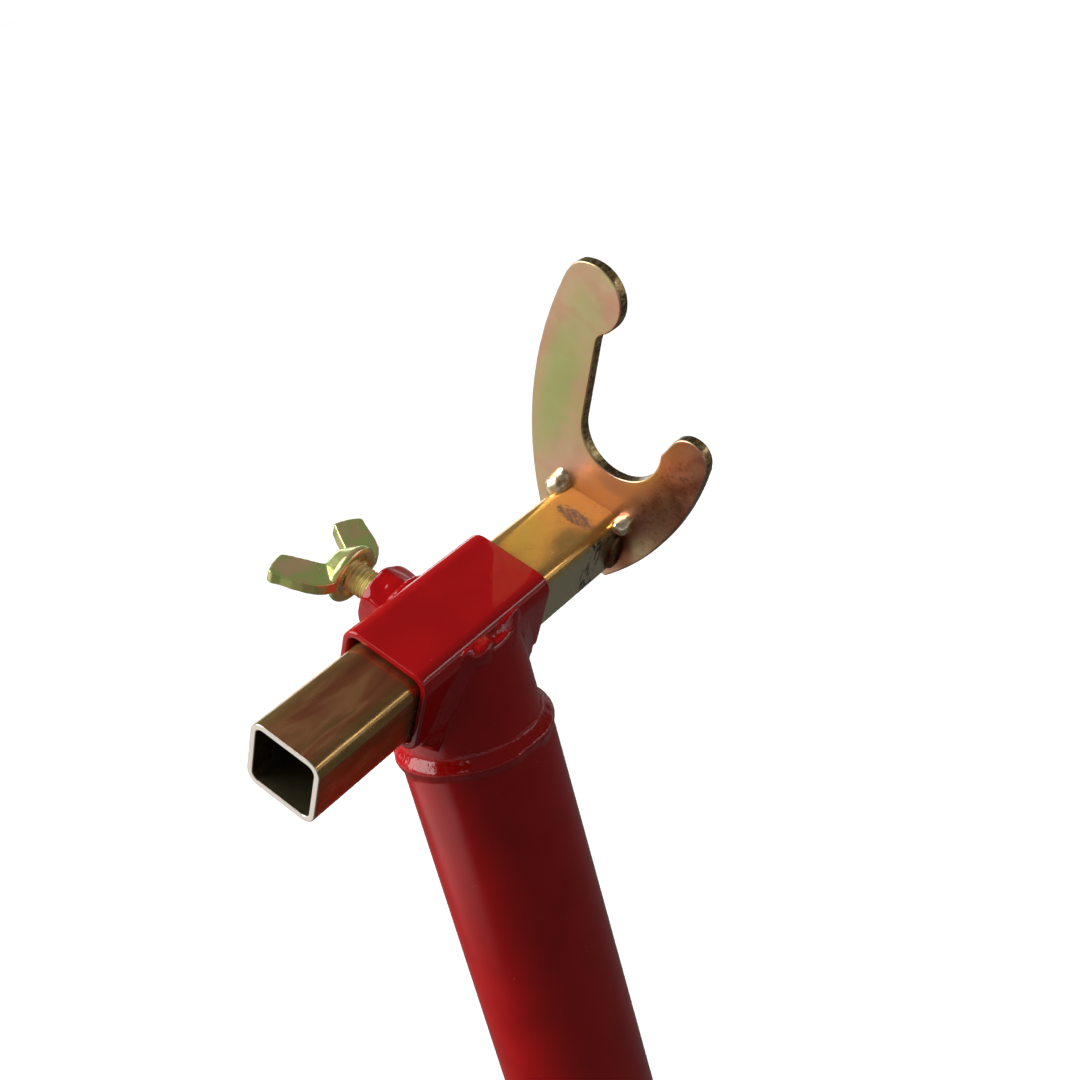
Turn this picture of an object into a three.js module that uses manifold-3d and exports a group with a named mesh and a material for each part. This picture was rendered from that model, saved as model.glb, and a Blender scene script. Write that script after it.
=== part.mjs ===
// A hand tow bar for a light aircraft: a red round shaft with a T-handle at its foot and, at its
// head, a crosswise square sleeve. A square bar with a hook plate slides through the sleeve, and
// a wing screw in a welded nut locks it.
// Millimetres. +Z runs up the shaft to the head, +Y along the sliding bar towards its hook, and
// the origin is the middle of the T-handle.

import * as THREE from 'three';
import { mergeVertices } from 'three/addons/utils/BufferGeometryUtils.js';
import Module from 'manifold-3d';

const wasm = await Module();
wasm.setup();

// ---- Driving dimensions -------------------------------------------------------------------

const GAP = 0.3; // between pieces that touch
const HEAD_HEIGHT = 520; // handle axis to sliding bar axis
const HEAD_TILT = THREE.MathUtils.degToRad(29.2); // the head's turn about the sliding bar

const BAR = { width: 25, wall: 2, corner: 4.5, near: -71.3, far: 71.3 };
const SLEEVE = { width: 31.4, wall: 2.4, corner: 5.5, x: -0.5, z: 0.3, near: -30.6, far: 28.7 };
const STUB = { radius: 22.1, wall: 2, inside: 30, rim: 13 };
const SHAFT = { radius: 24.4, wall: 2, top: HEAD_HEIGHT - 32, foot: -34 };
const HANDLE = { radius: 14, wall: 2, half: 160 };
const GRIP = { radius: 17.5, flange: 21, start: 46, end: 165 };
const CAP = { thick: 3.2, depth: 13 };

// ---- Sizes of the small parts -------------------------------------------------------------

const PLATE_THICK = 4;
const SCREW = { radius: 4.9, hole: 5.3, z: -0.5, tipRadius: 3.8, tipLength: 2.4 };
const NUT = { acrossFlats: 19, height: 10.8 };
const HUB = { rim: 9.8, crown: 5.8, length: 8.8, recess: 7.2, recessDepth: 1.8, stand: 9.2 };
const WING = { thick: 4.2, bevel: 0.6, reach: 21.6, length: 20 };
const WING_TURN = THREE.MathUtils.degToRad(-7); // the wings' rest, about the screw's axis
const BEAD = { saddle: 3.4, handle: 3.2 };

const ROUND = 48; // sides of a large round piece
const SMALL_ROUND = 32;
const CORNER_STEPS = 6; // segments in one rounded corner
const FAR = 200; // reach of a cutting block

// ---- Materials ----------------------------------------------------------------------------

function paint(name, color, roughness, metalness) {
  return new THREE.MeshStandardMaterial({ name, color, roughness, metalness });
}

const redPaint = () => paint('red_paint', 0xa81c1c, 0.3, 0.1);
const yellowZinc = () => paint('yellow_zinc', 0xb08a4e, 0.3, 0.9);
const blackRubber = () => paint('black_rubber', 0x1c1c1e, 0.8, 0);
const blackPlastic = () => paint('black_plastic', 0x18181a, 0.5, 0);
const brass = () => paint('brass', 0xb28f45, 0.35, 0.9);

// ---- Solids -------------------------------------------------------------------------------

function solidOf(geometry) {
  const bare = geometry.clone();
  bare.deleteAttribute('normal');
  bare.deleteAttribute('uv');
  const merged = mergeVertices(bare, 1e-4);
  const vertProperties = new Float32Array(merged.attributes.position.array);
  const triVerts = new Uint32Array(merged.index.array);
  return new wasm.Manifold(new wasm.Mesh({ numProp: 3, vertProperties, triVerts }));
}

function geometryOf(solid) {
  const mesh = solid.getMesh();
  const geometry = new THREE.BufferGeometry();
  geometry.setAttribute('position', new THREE.BufferAttribute(mesh.vertProperties, 3));
  geometry.setIndex(new THREE.BufferAttribute(mesh.triVerts, 1));
  geometry.computeVertexNormals();
  return geometry;
}

function biggestBody(solid) {
  const bodies = solid.decompose();
  return bodies.reduce((best, body) => (body.volume() > best.volume() ? body : best));
}

// A block from its lowest and highest corners.
function block(low, high) {
  const size = high.map((value, i) => value - low[i]);
  const box = new THREE.BoxGeometry(...size);
  box.translate(low[0] + size[0] / 2, low[1] + size[1] / 2, low[2] + size[2] / 2);
  return solidOf(box);
}

// A round solid about +Z, from a closed profile of [radius, height] points.
function turned(profile, sides) {
  const points = profile.map(([radius, height]) => new THREE.Vector2(radius, height));
  return new THREE.LatheGeometry(points, sides).rotateX(Math.PI / 2);
}

// Turns a solid made about +Z so that its axis lies along +Y, or along -X.
const alongY = (geometry) => geometry.rotateX(-Math.PI / 2);
const alongMinusX = (geometry) => geometry.rotateY(-Math.PI / 2);

function ring(outer, inner, low, high, sides) {
  const profile = [[inner, low], [outer, low], [outer, high], [inner, high], [inner, low]];
  return turned(profile, sides);
}

function rod(radius, low, high, sides) {
  return turned([[0, low], [radius, low], [radius, high], [0, high]], sides);
}

function roundedSquare(width, corner, Kind = THREE.Shape) {
  const path = new Kind();
  const inset = width / 2 - corner;
  const centres = [[inset, inset], [-inset, inset], [-inset, -inset], [inset, -inset]];
  centres.forEach(([x, y], i) => {
    path.absarc(x, y, corner, (i * Math.PI) / 2, ((i + 1) * Math.PI) / 2, false);
  });
  path.closePath();
  return path;
}

// A shape drawn in X and Z, run along Y from near to far.
function runAlongY(shape, near, far) {
  const options = { depth: far - near, bevelEnabled: false, curveSegments: CORNER_STEPS };
  const geometry = new THREE.ExtrudeGeometry(shape, options);
  return geometry.rotateX(Math.PI / 2).translate(0, far, 0);
}

function squareTube(width, wall, corner, near, far) {
  const shape = roundedSquare(width, corner);
  shape.holes.push(roundedSquare(width - 2 * wall, corner - wall, THREE.Path));
  return runAlongY(shape, near, far);
}

// A closed weld bead of round section along a loop of points.
function loopBead(points, radius) {
  const loop = new THREE.CatmullRomCurve3(points, true);
  return solidOf(new THREE.TubeGeometry(loop, points.length, radius, 8, true));
}

// ---- The assembly -------------------------------------------------------------------------

const towBar = new THREE.Group();
const head = new THREE.Group(); // X across the bar to its right, Y along it, Z out of its top
head.position.z = HEAD_HEIGHT;
head.rotation.y = HEAD_TILT;
towBar.add(head);

function put(parent, name, shape, material) {
  const geometry = shape.isBufferGeometry ? shape : geometryOf(shape);
  const mesh = new THREE.Mesh(geometry, material);
  mesh.name = name;
  parent.add(mesh);
}

// ---- Sleeve, in the head's axes -----------------------------------------------------------

const sleeveLeft = SLEEVE.x - SLEEVE.width / 2;
const sleeveRight = SLEEVE.x + SLEEVE.width / 2;
const sleeveBottom = SLEEVE.z - SLEEVE.width / 2;

function screwRod(radius, from, to) {
  return alongMinusX(rod(radius, -from, -to, SMALL_ROUND)).translate(0, 0, SCREW.z);
}

function sleeveBlock(grow) {
  const shape = roundedSquare(SLEEVE.width + 2 * grow, SLEEVE.corner + grow);
  const run = runAlongY(shape, SLEEVE.near - grow, SLEEVE.far + grow);
  return solidOf(run.translate(SLEEVE.x, 0, SLEEVE.z));
}

function crossSleeve() {
  const tube = squareTube(SLEEVE.width, SLEEVE.wall, SLEEVE.corner, SLEEVE.near, SLEEVE.far);
  const screwHole = solidOf(screwRod(SCREW.hole, SLEEVE.x, sleeveLeft - 5));
  return solidOf(tube.translate(SLEEVE.x, 0, SLEEVE.z)).subtract(screwHole);
}

put(head, 'cross_sleeve', crossSleeve(), redPaint());

// ---- Stub tube, coped round the sleeve's underside and right side -------------------------

// The shaft's own axes, seen from the head.
const shaftTurn = new THREE.Matrix4().makeRotationY(-HEAD_TILT);

function stubBlock(radius, grow) {
  const depth = HEAD_HEIGHT - SHAFT.top + STUB.inside;
  const round = rod(radius, -depth, STUB.radius, ROUND).applyMatrix4(shaftTurn);
  const right = sleeveRight + GAP - grow;
  const bottom = sleeveBottom - GAP + grow;
  const reach = SLEEVE.corner;
  const overTop = block([-FAR, -FAR, STUB.rim + grow], [FAR, FAR, FAR]);
  const left = block([-FAR, -FAR, bottom], [right - reach, FAR, FAR]);
  const above = block([-FAR, -FAR, bottom + reach], [right, FAR, FAR]);
  return solidOf(round)
    .subtract(sleeveBlock(GAP - grow))
    .subtract(left)
    .subtract(above)
    .subtract(overTop);
}

function stubTube() {
  const bore = rod(STUB.radius - STUB.wall, -FAR, FAR, ROUND).applyMatrix4(shaftTurn);
  return biggestBody(stubBlock(STUB.radius, 0).subtract(solidOf(bore)));
}

put(head, 'stub_tube', stubTube(), redPaint());

// The saddle weld follows the stub's coped end, where it meets the sleeve.
function saddleWeld() {
  const points = [];
  const radius = STUB.radius + 1;
  const sin = Math.sin(HEAD_TILT);
  const cos = Math.cos(HEAD_TILT);
  for (let i = 0; i < ROUND; i += 1) {
    const angle = (i / ROUND) * 2 * Math.PI;
    const across = radius * Math.cos(angle);
    const downToSide = (sleeveRight - across * cos) / sin;
    const downToBottom = (across * sin - sleeveBottom) / cos;
    const downToRim = (across * sin - STUB.rim) / cos;
    const down = Math.max(Math.min(downToSide, downToBottom), downToRim);
    const x = across * cos + down * sin;
    const z = across * sin - down * cos;
    points.push(new THREE.Vector3(x, radius * Math.sin(angle), z));
  }
  const bead = loopBead(points, BEAD.saddle)
    .subtract(sleeveBlock(GAP))
    .subtract(stubBlock(STUB.radius + GAP, GAP));
  const nutWeldRoom = block([-FAR, -FAR, sleeveBottom + GAP], [sleeveLeft + 5, FAR, FAR]);
  return biggestBody(bead.subtract(nutWeldRoom));
}

put(head, 'saddle_weld', saddleWeld(), redPaint());

// ---- Nut on the sleeve's left wall --------------------------------------------------------

const nutInner = sleeveLeft - GAP;
const nutOuter = nutInner - NUT.height;
const nutCorner = NUT.acrossFlats / Math.sqrt(3);

function nutBlock(grow, inner, outer) {
  const hex = rod(nutCorner + grow, -inner, -outer, 6); // its corners point up and down
  return solidOf(alongMinusX(hex).translate(0, 0, SCREW.z));
}

function weldNut() {
  const half = NUT.acrossFlats / 2;
  const profile = [
    [0, -nutInner], [nutCorner, -nutInner], [nutCorner, -nutOuter - 1.6],
    [half - 0.4, -nutOuter], [0, -nutOuter],
  ];
  const chamfer = solidOf(alongMinusX(turned(profile, ROUND)).translate(0, 0, SCREW.z));
  const bore = solidOf(screwRod(SCREW.hole, nutInner + 5, nutOuter - 5));
  return nutBlock(0, nutInner, nutOuter).intersect(chamfer).subtract(bore);
}

function nutWeld() {
  const reach = nutCorner + 2.4;
  const tall = 2.6;
  const profile = [
    [nutCorner - 2.5, -nutInner], [reach, -nutInner], [reach - 0.6, -nutInner + 1.4],
    [nutCorner, -nutInner + tall], [nutCorner - 2.5, -nutInner + tall],
    [nutCorner - 2.5, -nutInner],
  ];
  const bead = solidOf(alongMinusX(turned(profile, SMALL_ROUND)).translate(0, 0, SCREW.z));
  return biggestBody(bead.subtract(nutBlock(GAP, nutInner + 2, nutOuter)));
}

put(head, 'weld_nut', weldNut(), redPaint());
put(head, 'nut_weld', nutWeld(), redPaint());

// ---- Sliding bar and hook plate -----------------------------------------------------------

const plateNear = BAR.far + GAP;
const plateFar = plateNear + PLATE_THICK;

function barBlock(grow) {
  const shape = roundedSquare(BAR.width + 2 * grow, BAR.corner + grow);
  return solidOf(runAlongY(shape, BAR.near, BAR.far));
}

// The plate's outline in X and Z, anticlockwise from its bottom left corner.
function hookOutline() {
  const degrees = THREE.MathUtils.degToRad;
  const bottom = -14;
  const back = { x: 99.8, z: 55.9, r: 131 }; // long arm's outer edge
  const belly = { x: -57.6, z: 46.6, r: 92.2 }; // outer edge under the short arm
  const shortTip = { x: 27.5, z: 46.7, r: 6.9 };
  const throat = { x: 4.3, z: 40.4, r: 14.6 };
  const lobe = { x: -18.4, z: 80.8, r: 11.9 };
  const backTop = 82;
  const outline = new THREE.Shape();
  const bellyStart = Math.asin((bottom - belly.z) / belly.r);
  outline.absarc(belly.x, belly.z, belly.r, bellyStart, 0, false);
  outline.absarc(shortTip.x, shortTip.z, shortTip.r, 0, degrees(165), false);
  outline.absarc(throat.x, throat.z, throat.r, degrees(10), degrees(-176), true);
  outline.lineTo(-12.2, 68);
  outline.quadraticCurveTo(-12.2, 70.9, -10, 72.4);
  outline.absarc(lobe.x, lobe.z, lobe.r, degrees(-45), degrees(110), false);
  const backStart = Math.PI - Math.asin((backTop - back.z) / back.r);
  const backEnd = Math.PI - Math.asin((bottom - back.z) / back.r);
  outline.quadraticCurveTo(-27, 91, back.x + back.r * Math.cos(backStart), backTop);
  outline.absarc(back.x, back.z, back.r, backStart, backEnd, false);
  outline.closePath();
  return outline;
}

function hookPlate() {
  const options = { depth: PLATE_THICK, bevelEnabled: false, curveSegments: 20 };
  const plate = new THREE.ExtrudeGeometry(hookOutline(), options);
  return plate.rotateX(Math.PI / 2).translate(0, plateFar, 0);
}

put(head, 'slide_tube', squareTube(BAR.width, BAR.wall, BAR.corner, BAR.near, BAR.far), yellowZinc());
put(head, 'hook_plate', hookPlate(), yellowZinc());

// Weld blobs in the corner between the bar and the plate: an ellipsoid about its centre.
function hookWeld(x, z, size) {
  const ball = new THREE.SphereGeometry(1, 16, 12).scale(...size);
  const blob = solidOf(ball.translate(x, BAR.far - 0.6, z));
  const past = block([-FAR, BAR.far, -FAR], [FAR, FAR, FAR]);
  return biggestBody(blob.subtract(barBlock(GAP)).subtract(past));
}

const barHalf = BAR.width / 2;
const hookWelds = {
  hook_weld_top_left: [-barHalf + 0.8, barHalf - 1.2, [3.2, 4.6, 3.6]],
  hook_weld_top_right: [barHalf + 1, barHalf - 1.6, [2.8, 4.2, 3]],
  hook_weld_right: [barHalf + 0.4, -1.5, [2.6, 4, 7.5]],
  hook_weld_left: [-barHalf - 0.4, -2, [2.6, 4, 7]],
  hook_weld_under: [0, -barHalf - 0.2, [7, 4, 2.2]],
};
for (const [name, [x, z, size]] of Object.entries(hookWelds)) {
  put(head, name, hookWeld(x, z, size), yellowZinc());
}

// ---- Wing screw ---------------------------------------------------------------------------

const tipStart = -barHalf - GAP;
const tipEnd = tipStart - SCREW.tipLength;
const hubFace = nutOuter - HUB.stand;
const hubRecess = hubFace - HUB.recessDepth;
const hubEnd = hubFace - HUB.length;

function thrustTip() {
  return screwRod(SCREW.tipRadius, tipStart, tipEnd);
}

function threadedRod() {
  const chamfer = 1;
  const start = -tipEnd + GAP;
  const end = -hubRecess - GAP;
  const profile = [[0, start], [SCREW.radius - chamfer, start], [SCREW.radius, start + chamfer],
    [SCREW.radius, end], [0, end]];
  return alongMinusX(turned(profile, SMALL_ROUND)).translate(0, 0, SCREW.z);
}

// One wing's outline, drawn as distance from the hub's face by reach from the screw's axis.
function wingOutline(side) {
  const root = 5;
  const tip = 1; // the tip's corner rounding
  const tipInner = WING.reach - 10;
  const outline = new THREE.Shape();
  outline.moveTo(tip, side * root);
  outline.lineTo(tip, side * (HUB.rim - tip));
  outline.quadraticCurveTo(2, side * (WING.reach - 4), WING.length - 5, side * WING.reach);
  outline.quadraticCurveTo(WING.length - tip, side * WING.reach, WING.length - tip, side * (WING.reach - 3));
  outline.lineTo(WING.length, side * (tipInner + tip));
  outline.quadraticCurveTo(WING.length, side * tipInner, WING.length - 2.6, side * (tipInner - tip));
  outline.lineTo(HUB.length - tip, side * root);
  outline.closePath();
  return outline;
}

function wingBlade(side) {
  const core = WING.thick - 2 * WING.bevel;
  const blade = new THREE.ExtrudeGeometry(wingOutline(side), {
    depth: core, bevelEnabled: true, bevelSize: WING.bevel, bevelThickness: WING.bevel,
    bevelOffset: -WING.bevel, bevelSegments: 2, curveSegments: 8,
  });
  blade.translate(0, 0, -core / 2);
  const axes = [[0, 0, 1], [0, 1, 0], [-1, 0, 0]].map((axis) => new THREE.Vector3(...axis));
  return solidOf(blade.applyMatrix4(new THREE.Matrix4().makeBasis(...axes)));
}

function wingHead() {
  const profile = [
    [0, HUB.recessDepth], [HUB.recess - 1.4, HUB.recessDepth], [HUB.recess, 0], [HUB.rim - 0.8, 0],
    [HUB.rim, 0.9], [HUB.rim - 0.4, 3], [HUB.crown + 1.6, 5.4], [HUB.crown, HUB.length - 1.6],
    [HUB.crown - 1.8, HUB.length], [0, HUB.length],
  ];
  const hub = solidOf(turned(profile, SMALL_ROUND));
  const body = hub.add(wingBlade(-1)).add(wingBlade(1));
  return alongMinusX(geometryOf(body)).rotateX(WING_TURN).translate(hubFace, 0, SCREW.z);
}

put(head, 'thrust_tip', thrustTip(), brass());
put(head, 'screw_rod', threadedRod(), yellowZinc());
put(head, 'wing_head', wingHead(), yellowZinc());

// ---- Shaft --------------------------------------------------------------------------------

function shaftTube() {
  const tube = ring(SHAFT.radius, SHAFT.radius - SHAFT.wall, SHAFT.foot, SHAFT.top, ROUND);
  const crossHole = alongY(rod(HANDLE.radius + GAP, -FAR, FAR, ROUND));
  return solidOf(tube).subtract(solidOf(crossHole));
}

function ringWeld() {
  const inner = STUB.radius + GAP;
  const outer = SHAFT.radius + GAP;
  const seat = SHAFT.top + GAP;
  const profile = [
    [inner, seat], [outer, seat], [outer, seat - 3.2], [outer + 1.2, seat - 2.6],
    [outer + 1.9, seat - 0.8], [outer + 1.6, seat + 1.2], [outer + 0.2, seat + 3.2],
    [inner, seat + 4.4], [inner, seat],
  ];
  return turned(profile, ROUND);
}

function shaftCap() {
  const plug = SHAFT.radius - SHAFT.wall - GAP;
  const rim = SHAFT.foot - GAP;
  const profile = [
    [0, rim - CAP.thick], [SHAFT.radius - 1.4, rim - CAP.thick],
    [SHAFT.radius, rim - CAP.thick + 1.4], [SHAFT.radius, rim], [plug, rim],
    [plug, rim + CAP.depth], [0, rim + CAP.depth],
  ];
  return turned(profile, ROUND);
}

put(towBar, 'shaft_tube', shaftTube(), redPaint());
put(towBar, 'ring_weld', ringWeld(), redPaint());
put(towBar, 'shaft_cap', shaftCap(), blackPlastic());

// ---- T-handle -----------------------------------------------------------------------------

function handleTube() {
  const inner = HANDLE.radius - HANDLE.wall;
  return alongY(ring(HANDLE.radius, inner, -HANDLE.half, HANDLE.half, SMALL_ROUND));
}

function handleWeld(side) {
  const points = [];
  const around = HANDLE.radius + 0.8;
  for (let i = 0; i < SMALL_ROUND; i += 1) {
    const angle = (i / SMALL_ROUND) * 2 * Math.PI;
    const x = around * Math.cos(angle);
    const out = Math.sqrt(SHAFT.radius ** 2 - x ** 2) + 0.8;
    points.push(new THREE.Vector3(x, side * out, around * Math.sin(angle)));
  }
  const shaft = solidOf(rod(SHAFT.radius + GAP, SHAFT.foot, SHAFT.top, ROUND));
  const bar = solidOf(alongY(rod(HANDLE.radius + GAP, -HANDLE.half, HANDLE.half, SMALL_ROUND)));
  return biggestBody(loopBead(points, BEAD.handle).subtract(shaft).subtract(bar));
}

function grip(side) {
  const bore = HANDLE.radius + GAP;
  const profile = [
    [0, GRIP.end], [GRIP.radius - 3, GRIP.end], [GRIP.radius, GRIP.end - 3],
    [GRIP.radius, GRIP.start + 6], [GRIP.flange, GRIP.start + 4], [GRIP.flange, GRIP.start],
    [bore, GRIP.start], [bore, HANDLE.half + GAP], [0, HANDLE.half + GAP],
  ];
  return alongY(turned(profile.reverse(), SMALL_ROUND)).rotateZ(side > 0 ? 0 : Math.PI);
}

put(towBar, 'handle_tube', handleTube(), redPaint());
for (const [word, side] of [['near', -1], ['far', 1]]) {
  put(towBar, `handle_weld_${word}`, handleWeld(side), redPaint());
  put(towBar, `grip_${word}`, grip(side), blackRubber());
}

export default towBar;
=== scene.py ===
"""Looks of a hand tow bar for a light aircraft: red powder-coated shaft, sleeve and T-handle, and a
yellow-zinc square bar with a hook plate, locked in the sleeve by a wing screw.

Lengths are in millimetres until they are placed. A head piece is drawn in the head's own axes:
X across the bar to its right, Y along the bar towards the hook plate, Z out of the sleeve's top.
"""

import math

import bmesh
import bpy
from mathutils import Matrix, Vector, noise


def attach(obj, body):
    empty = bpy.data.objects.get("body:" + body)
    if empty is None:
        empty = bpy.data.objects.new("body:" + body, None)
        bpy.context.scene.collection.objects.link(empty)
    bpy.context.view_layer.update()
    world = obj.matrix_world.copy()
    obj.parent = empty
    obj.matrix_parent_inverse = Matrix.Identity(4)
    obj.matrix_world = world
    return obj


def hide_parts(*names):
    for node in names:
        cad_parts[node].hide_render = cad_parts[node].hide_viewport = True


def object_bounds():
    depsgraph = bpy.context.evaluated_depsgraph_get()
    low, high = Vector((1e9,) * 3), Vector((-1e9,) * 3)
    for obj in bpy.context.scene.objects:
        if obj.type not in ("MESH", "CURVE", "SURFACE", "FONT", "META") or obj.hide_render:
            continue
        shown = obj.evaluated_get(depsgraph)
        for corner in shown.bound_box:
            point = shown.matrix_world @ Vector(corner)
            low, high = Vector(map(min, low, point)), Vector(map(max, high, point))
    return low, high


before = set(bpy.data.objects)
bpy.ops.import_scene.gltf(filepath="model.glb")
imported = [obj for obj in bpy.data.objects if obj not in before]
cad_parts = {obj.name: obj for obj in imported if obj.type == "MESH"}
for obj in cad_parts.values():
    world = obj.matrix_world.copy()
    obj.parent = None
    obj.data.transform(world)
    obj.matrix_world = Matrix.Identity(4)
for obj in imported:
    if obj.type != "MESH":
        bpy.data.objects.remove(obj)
cad_low, cad_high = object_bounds()

# ---- Driving dimensions ---------------------------------------------------------------------

MM = 0.001
HEAD_HEIGHT = 520.0  # handle axis to sliding bar axis
HEAD_TILT = math.radians(29.2)  # the head's turn about the sliding bar
SIN, COS = math.sin(HEAD_TILT), math.cos(HEAD_TILT)

BAR_WIDTH, BAR_WALL, BAR_CORNER = 25.0, 2.0, 4.5
BAR_NEAR, BAR_FAR = -71.3, 71.3
SLEEVE_WIDTH, SLEEVE_WALL, SLEEVE_CORNER = 31.4, 2.4, 5.5
SLEEVE_X, SLEEVE_Z = -0.5, 0.3
SLEEVE_NEAR, SLEEVE_FAR = -30.6, 28.7
SLEEVE_RIGHT = SLEEVE_X + SLEEVE_WIDTH / 2
SLEEVE_BOTTOM = SLEEVE_Z - SLEEVE_WIDTH / 2
STUB_RADIUS, STUB_WALL, STUB_RIM, STUB_DEPTH = 22.1, 2.0, 13.0, 62.0
SHAFT_RADIUS, SHAFT_WALL = 24.4, 2.0
SHAFT_TOP, SHAFT_FOOT = HEAD_HEIGHT - 32.0, -34.0
HANDLE_RADIUS, HANDLE_WALL, HANDLE_HALF = 14.0, 2.0, 160.0
GRIP_RADIUS, GRIP_FLANGE, GRIP_START, GRIP_END = 17.5, 21.0, 46.0, 165.0
CAP_THICK, CAP_GAP, CAP_PLUG = 3.2, 0.3, 10.0  # CAP_PLUG is how far the cap goes up the shaft
PLATE_NEAR, PLATE_FAR = 71.6, 75.6
SCREW_RADIUS, SCREW_PITCH, SCREW_Z = 4.9, 1.5, -0.5
NUT_FLATS, NUT_INNER, NUT_OUTER = 19.0, -16.4, -27.3
HUB_STAND = 9.2  # the hub's face from the nut's
HUB_FACE = NUT_OUTER - HUB_STAND
HUB_RIM, HUB_CROWN, HUB_LENGTH = 9.8, 5.8, 8.8
HUB_RECESS, HUB_RECESS_DEPTH = 7.2, 1.8
WING_TURN = math.radians(-7)  # the wings' rest, about the screw's axis
WING_THICK, WING_Z = 4.2, -0.5

ROUND = 192  # sides of a large round piece
SIDES = (("near", -1), ("far", 1))  # the T-handle's two ends
HEAD = Matrix.Translation((0, 0, HEAD_HEIGHT * MM)) @ Matrix.Rotation(HEAD_TILT, 4, "Y")


# ---- Mesh code --------------------------------------------------------------------------------


def add_skin(bm, rings, closed=True, capped=False):
    """Adds a skin through rings of points. Each ring closes on itself; closed joins the last ring to
    the first, and capped fills the first and last rings."""
    rows = [[bm.verts.new(Vector(p) * MM) for p in ring] for ring in rings]
    for i in range(len(rows) if closed else len(rows) - 1):
        a, b = rows[i], rows[(i + 1) % len(rows)]
        for j in range(len(a)):
            k = (j + 1) % len(a)
            bm.faces.new((a[j], a[k], b[k], b[j]))
    if capped:
        bm.faces.new(rows[0][::-1])
        bm.faces.new(rows[-1])


def add_ball(bm, centre, size, seed=0.0, rough=0.12):
    """Adds an uneven egg about a point, with those half sizes."""
    made = bmesh.ops.create_icosphere(bm, subdivisions=4, radius=1.0)
    for v in made["verts"]:
        swell = 1 + rough * noise.noise(v.co * 1.7 + Vector((seed, seed, 0)))
        v.co = Vector([c + v.co[i] * size[i] * swell for i, c in enumerate(centre)]) * MM


def piece(name, rings, body, nodes, material, at=None, closed=True, capped=False):
    """Makes a piece that is one skin through rings of points."""
    bm = bmesh.new()
    add_skin(bm, rings, closed, capped)
    return finished(name, bm, body, nodes, material, at)


def finished(name, bm, body, nodes, material, at=None, flat_caps=False, fuse=None):
    """Makes the piece, in the part's frame. Its points keep their place in their own axes, which the
    materials read. fuse is a voxel size and smoothing rounds for pieces made of overlapping shells."""
    bmesh.ops.recalc_face_normals(bm, faces=bm.faces)
    mesh = bpy.data.meshes.new(name)
    for face in bm.faces:
        face.smooth = not (flat_caps and len(face.verts) > 4)
    bm.to_mesh(mesh)
    bm.free()
    made = bpy.data.objects.new(name, mesh)
    bpy.context.scene.collection.objects.link(made)
    if fuse:
        melt(made, *fuse)
    mesh = made.data
    own = mesh.attributes.new("own_place", "FLOAT_VECTOR", "POINT")
    for v, kept in zip(mesh.vertices, own.data):
        kept.vector = v.co
    if at is not None:
        mesh.transform(at)
    mesh.materials.clear()
    mesh.materials.append(material)
    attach(made, body)
    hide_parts(*nodes)
    return made


def melt(made, voxel, rounds):
    """Fuses a piece's overlapping shells into one skin and rounds the joins, as in a weld."""
    remesh = made.modifiers.new("fuse", "REMESH")
    remesh.mode = "VOXEL"
    remesh.voxel_size = voxel * MM
    remesh.use_smooth_shade = True
    soften = made.modifiers.new("soften", "SMOOTH")
    soften.factor = 0.5
    soften.iterations = rounds
    graph = bpy.context.evaluated_depsgraph_get()
    fused = bpy.data.meshes.new_from_object(made.evaluated_get(graph))
    made.modifiers.clear()
    made.data = fused
    for face in fused.polygons:
        face.use_smooth = True


def wobble(made, size, height, seed):
    """Moves a piece's points along their normals by smooth noise of that size and height."""
    mesh = made.data
    shift = Vector((seed * 7.3, seed * 3.1, seed * 5.7))
    normals = [v.normal.copy() for v in mesh.vertices]
    for v, n in zip(mesh.vertices, normals):
        v.co += n * noise.noise(v.co / (size * MM) + shift) * height * MM
    mesh.update()


def arc(cx, cy, radius, start, end, steps):
    """Points on an arc about (cx, cy), from start to end in degrees."""
    turns = [math.radians(start + (end - start) * i / steps) for i in range(steps + 1)]
    return [(cx + radius * math.cos(t), cy + radius * math.sin(t)) for t in turns]


def quadratic(a, b, c, steps):
    """The points between a and c on a curve that b pulls."""
    curve = []
    for i in range(1, steps):
        t = i / steps
        curve.append(tuple((1 - t) ** 2 * p + 2 * t * (1 - t) * q + t * t * r for p, q, r in zip(a, b, c)))
    return curve


def straight(a, b, steps):
    """The points between a and b on a straight line."""
    return [tuple(p + (q - p) * k / steps for p, q in zip(a, b)) for k in range(1, steps)]


def round_loop(radius, count=ROUND):
    turns = [2 * math.pi * i / count for i in range(count)]
    return [(radius * math.cos(t), radius * math.sin(t)) for t in turns]


def square_loop(width, corner, corner_steps=12, flat_steps=10):
    """A square with rounded corners, with points along its flats too."""
    inset = width / 2 - corner
    signs = ((1, 1), (-1, 1), (-1, -1), (1, -1))
    loop = []
    for i, (sx, sy) in enumerate(signs):
        loop += arc(sx * inset, sy * inset, corner, 90 * i, 90 * i + 90, corner_steps)
        after = signs[(i + 1) % 4]
        start = loop[-1]
        turn = math.radians(90 * i + 90)
        end = (after[0] * inset + corner * math.cos(turn), after[1] * inset + corner * math.sin(turn))
        for k in range(1, flat_steps):
            t = k / flat_steps
            loop.append((start[0] + (end[0] - start[0]) * t, start[1] + (end[1] - start[1]) * t))
    return loop


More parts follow.
